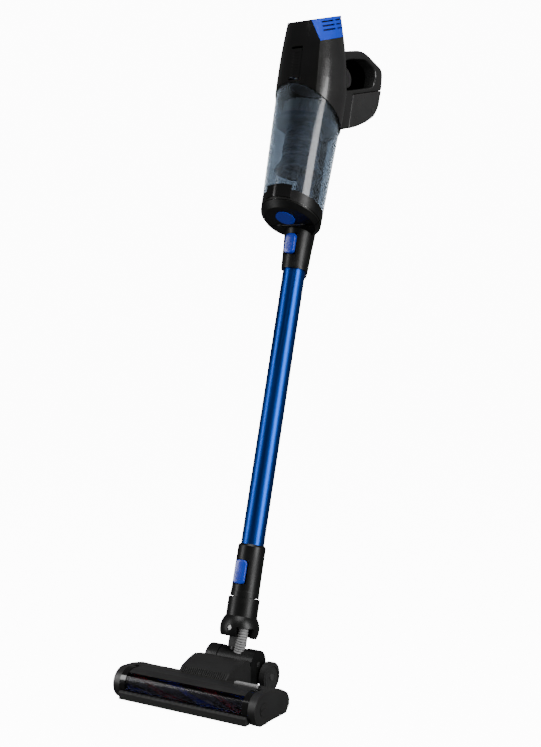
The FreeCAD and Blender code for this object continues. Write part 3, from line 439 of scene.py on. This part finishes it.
def build_collar():
    """Black band round the foot of the clear cup, above the lid."""
    mesh = NODES["dust_cup"].data
    tool = bmesh.new()
    tool.from_mesh(mesh)
    normal = (WAND.to_3x3() @ Vector(LID_NORMAL)).normalized()
    foot = wand(*LID_POINT)
    for height, side in ((COLLAR_TOP * MM, 1), (COLLAR_FOOT * MM, -1)):
        geometry = tool.verts[:] + tool.edges[:] + tool.faces[:]
        cut = bmesh.ops.bisect_plane(
            tool, geom=geometry, plane_co=foot + normal * height, plane_no=normal * side, clear_outer=True
        )
        rim = [item for item in cut["geom_cut"] if isinstance(item, bmesh.types.BMEdge)]
        bmesh.ops.triangle_fill(tool, edges=rim, use_beauty=True)
    bmesh.ops.recalc_face_normals(tool, faces=tool.faces)
    tool.normal_update()
    for vert in tool.verts:
        vert.co += vert.normal * COLLAR_SWELL * MM
    collar = bpy.data.meshes.new("collar")
    tool.to_mesh(collar)
    tool.free()
    add_piece("cup_collar", collar, "black_satin", "cup")


# height, distance to the back and radius of the body's sections behind the vent
BODY_RINGS = [
    (958, -39.8, 51.9),
    (980, -43.9, 48.7),
    (1000, -47.8, 45.2),
    (1020, -51.7, 41.7),
    (1050, -57.5, 36.6),
]
FOAM_INSET = 4.2


def body_top(y, drop):
    """Height of the body's sloping top, less a drop."""
    return 991 - drop + 0.6 * (y + 91)


def build_exhaust_foam():
    """Thin dark foam sleeve behind the vent slots."""
    steps = 72
    verts, faces = [], []
    for height, back, radius in BODY_RINGS:
        for step in range(steps):
            turn = 2 * math.pi * step / steps
            x = (radius - FOAM_INSET) * math.sin(turn)
            y = back + (radius - FOAM_INSET) * math.cos(turn)
            verts.append(wand(x, y, min(height, body_top(y, 5.5))))
    for ring in range(len(BODY_RINGS) - 1):
        for step in range(steps):
            after = (step + 1) % steps
            low = ring * steps
            faces.append((low + step, low + after, low + steps + after, low + steps + step))
    faces.append(tuple(range((len(BODY_RINGS) - 1) * steps, len(BODY_RINGS) * steps)))
    mesh = bpy.data.meshes.new("foam")
    mesh.from_pydata(verts, [], faces)
    foam = add_piece("exhaust_foam", mesh, "black_satin", "handheld")
    wall = foam.modifiers.new("wall", "SOLIDIFY")
    wall.thickness = 0.8 * MM
    wall.offset = -1


def build_slide_ridges():
    """Grip ridges on the cup's release slide."""
    ridges = []
    for step in range(8):
        height = 903 + step * 5
        front = -88.9 - (height - 905) * 0.07
        ridges.append(((0, front + 0.25, height), (5.6, 0.75, 0.8), 0))
    add_piece("slide_ridges", bars(ridges, WAND), "black_gloss", "cup_release")


# ---- neck ----
HOSE_ROUTE = [
    (2, -2, 64),
    (9, -8, 56),
    (14.2, -12.6, 46),
    (15.2, -13.2, 36),
    (14, -12.4, 25),
    (11.5, -10.5, 12),
]
HOSE_VALLEY, HOSE_RIB, HOSE_PITCH = 6.6, 1.5, 3.5


def smooth_route(points, spans=28):
    """Points along a Catmull-Rom curve through a route."""
    ends = [points[0]] + points + [points[-1]]
    route = []
    for index in range(1, len(ends) - 2):
        a, b, c, d = (Vector(ends[index + k]) for k in (-1, 0, 1, 2))
        for step in range(spans):
            t = step / spans
            square = (2 * a - 5 * b + 4 * c - d) * t**2
            cube = (3 * b - a - 3 * c + d) * t**3
            route.append(0.5 * (2 * b + (c - a) * t + square + cube))
    route.append(Vector(points[-1]))
    return route


def build_hose():
    """Ribbed hose that bows out through the window of the swivel housing."""
    route = smooth_route(HOSE_ROUTE)
    steps = 36
    travelled = 0.0
    verts, faces = [], []
    for index, centre in enumerate(route):
        before, after = route[max(index - 1, 0)], route[min(index + 1, len(route) - 1)]
        ahead = (after - before).normalized()
        across = ahead.cross(Vector((0, 1, 0))).normalized()
        third = ahead.cross(across)
        travelled += (centre - before).length
        ridge = abs(math.sin(math.pi * travelled / HOSE_PITCH)) ** 0.6
        radius = HOSE_VALLEY + HOSE_RIB * ridge
        for step in range(steps):
            turn = 2 * math.pi * step / steps
            point = centre + (across * math.cos(turn) + third * math.sin(turn)) * radius
            verts.append(wand(*point))
    for index in range(len(route) - 1):
        for step in range(steps):
            after = (step + 1) % steps
            low = index * steps
            faces.append((low + step, low + after, low + steps + after, low + steps + step))
    faces.append(tuple(reversed(range(steps))))
    faces.append(tuple(range((len(route) - 1) * steps, len(route) * steps)))
    mesh = bpy.data.meshes.new("hose")
    mesh.from_pydata(verts, [], faces)
    hose = finish_piece("hose_ribbed", mesh, "hose_grey", smooth=60)
    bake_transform(hose)
    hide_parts("neck_hose")


# ---- brush ----
TUFT_STEPS = 620
TUFT_ROWS = 4
TUFT_SPREAD = 5.5
HELIX_TURN = 300


def build_bristles():
    """Helical rows of fine bristles in two colours."""
    low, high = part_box("brush_core")
    axis_y, axis_z = (low.y + high.y) / 2, (low.z + high.z) / 2
    core_r = (high.z - low.z) / 2
    tip_low, tip_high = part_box("bristles_blue")
    tip_r = (tip_high.z - tip_low.z) / 2
    start_x, end_x = tip_low.x, tip_high.x
    random.seed(7)
    for colour, starts in (("blue", (0, 180)), ("red", (90, 270))):
        verts, faces = [], []
        for start in starts:
            for step in range(TUFT_STEPS):
                share = (step + random.random()) / TUFT_STEPS
                for row in range(TUFT_ROWS):
                    place = (row - (TUFT_ROWS - 1) / 2) * TUFT_SPREAD
                    turn = math.radians(start + HELIX_TURN * share + place + random.uniform(-2, 2))
                    splay = math.radians(random.uniform(-3, 3))
                    x = start_x + (end_x - start_x) * share
                    add_bristle(verts, faces, x, turn, splay, (axis_y, axis_z), core_r, tip_r)
        mesh = bpy.data.meshes.new("bristles")
        mesh.from_pydata(verts, [], faces)
        add_piece(f"bristle_rows_{colour}", mesh, f"bristle_{colour}", "brush", f"bristles_{colour}")


def add_bristle(verts, faces, x, turn, splay, axis, core_r, tip_r):
    """One three-sided tapering fibre from the core outwards."""
    thick = 0.00028
    first = len(verts)
    for radius, angle, width in ((core_r - 0.0004, turn, thick), (tip_r * 0.995, turn + splay, thick * 0.7)):
        centre = Vector((x, axis[0] + radius * math.cos(angle), axis[1] + radius * math.sin(angle)))
        across = Vector((0, -math.sin(angle), math.cos(angle)))
        for corner in range(3):
            round_turn = 2 * math.pi * corner / 3
            offset = Vector((1, 0, 0)) * math.cos(round_turn) + across * math.sin(round_turn)
            verts.append(centre + offset * width)
    for corner in range(3):
        after = (corner + 1) % 3
        faces.append((first + corner, first + after, first + 3 + after, first + 3 + corner))
    faces.append((first + 2, first + 1, first))
    faces.append((first + 3, first + 4, first + 5))


# ---- head ----
def build_grille_ribs():
    """Slanting ribs on the front of the head's middle housing."""
    ribs = []
    slope = math.atan2(48.5 - 39.5, 21 - 12)
    for step in range(23):
        x = -37.4 + step * 3.4
        ribs.append(((x, 16.2, 44.5), (0.8, 6.0, 0.9), slope))
    add_piece("grille_ribs", bars(ribs), "head_black", "head")


# ---- stage ----
BACKDROP_GLOW = 12
WORLD_LIGHT = 0.10
CAMERA_AT = (1.020, -1.419, 0.589)
CAMERA_AZIMUTH = math.radians(32.25)
CAMERA_ELEVATION = math.radians(3.63)
CAMERA_LENS = 59.78


def build_stage():
    """A pale round floor that curves up into a wall on every side."""
    reach, rise, radius, steps = 6.0, 5.0, 1.5, 96
    profile = [(0.0, 0.0), (1.0, 0.0), (reach - radius, 0.0)]
    for step in range(1, 13):
        turn = math.pi / 2 * step / 12
        profile.append((reach - radius + radius * math.sin(turn), radius - radius * math.cos(turn)))
    profile.append((reach, rise))
    verts, faces = [(0, 0, 0)], []
    for out, height in profile[1:]:
        for step in range(steps):
            turn = 2 * math.pi * step / steps
            verts.append((out * math.cos(turn), out * math.sin(turn), height))
    for step in range(steps):
        faces.append((0, 1 + step, 1 + (step + 1) % steps))
    for ring in range(len(profile) - 2):
        low = 1 + ring * steps
        for step in range(steps):
            after = (step + 1) % steps
            faces.append((low + step, low + steps + step, low + steps + after, low + after))
    mesh = bpy.data.meshes.new("backdrop")
    mesh.from_pydata(verts, [], faces)
    mesh.shade_smooth()
    floor = bpy.data.objects.new("backdrop", mesh)
    bpy.context.scene.collection.objects.link(floor)
    look = Look("paper", Specular_IOR_Level=0.1, Emission_Strength=BACKDROP_GLOW)
    look.shader.inputs["Emission Color"].default_value = (1, 1, 1, 1)
    look.colour(look.ramp(look.noise(3, 2), 0.84, 0.88))
    look.roughness(look.ramp(look.noise(20, 3), 0.75, 0.85))
    mesh.materials.append(look.material)
    floor.visible_glossy = False
    floor.visible_diffuse = False


def soft_light(name, at, aim, size, power):
    """A rectangular area light turned towards its aim."""
    light = bpy.data.lights.new(name, "AREA")
    light.shape = "RECTANGLE"
    light.size, light.size_y = size
    light.energy = power
    lamp = bpy.data.objects.new(name, light)
    lamp.location = at
    lamp.rotation_euler = (Vector(aim) - Vector(at)).to_track_quat("-Z", "Y").to_euler()
    bpy.context.scene.collection.objects.link(lamp)


def build_lights():
    """A dim even world, a strip on each side and a soft light above."""
    world = bpy.data.worlds.new("studio")
    world.use_nodes = True
    background = world.node_tree.nodes["Background"]
    background.inputs["Color"].default_value = (1, 1, 1, 1)
    background.inputs["Strength"].default_value = WORLD_LIGHT
    bpy.context.scene.world = world
    aim = (0, 0.2, 0.55)
    soft_light("left_strip", (-1.5, -1.3, 0.9), aim, (0.5, 1.8), 26)
    soft_light("right_strip", (2.1, -0.2, 0.9), aim, (0.9, 1.8), 60)
    soft_light("top", (0.3, -0.3, 2.6), aim, (1.4, 1.4), 45)


def build_camera():
    """The camera stands to the front right, a little above the middle."""
    camera = bpy.data.cameras.new("camera")
    camera.sensor_width = 36
    camera.lens = CAMERA_LENS
    thing = bpy.data.objects.new("camera", camera)
    backward = Vector(
        (
            math.sin(CAMERA_AZIMUTH) * math.cos(CAMERA_ELEVATION),
            -math.cos(CAMERA_AZIMUTH) * math.cos(CAMERA_ELEVATION),
            math.sin(CAMERA_ELEVATION),
        )
    )
    thing.location = CAMERA_AT
    thing.rotation_euler = backward.to_track_quat("Z", "Y").to_euler()
    bpy.context.scene.collection.objects.link(thing)
    bpy.context.scene.camera = thing


dress_cad()
build_handle()
build_buttons()
build_collar()
build_exhaust_foam()
build_slide_ridges()
build_hose()
build_bristles()
build_grille_ribs()
build_stage()
build_lights()
build_camera()
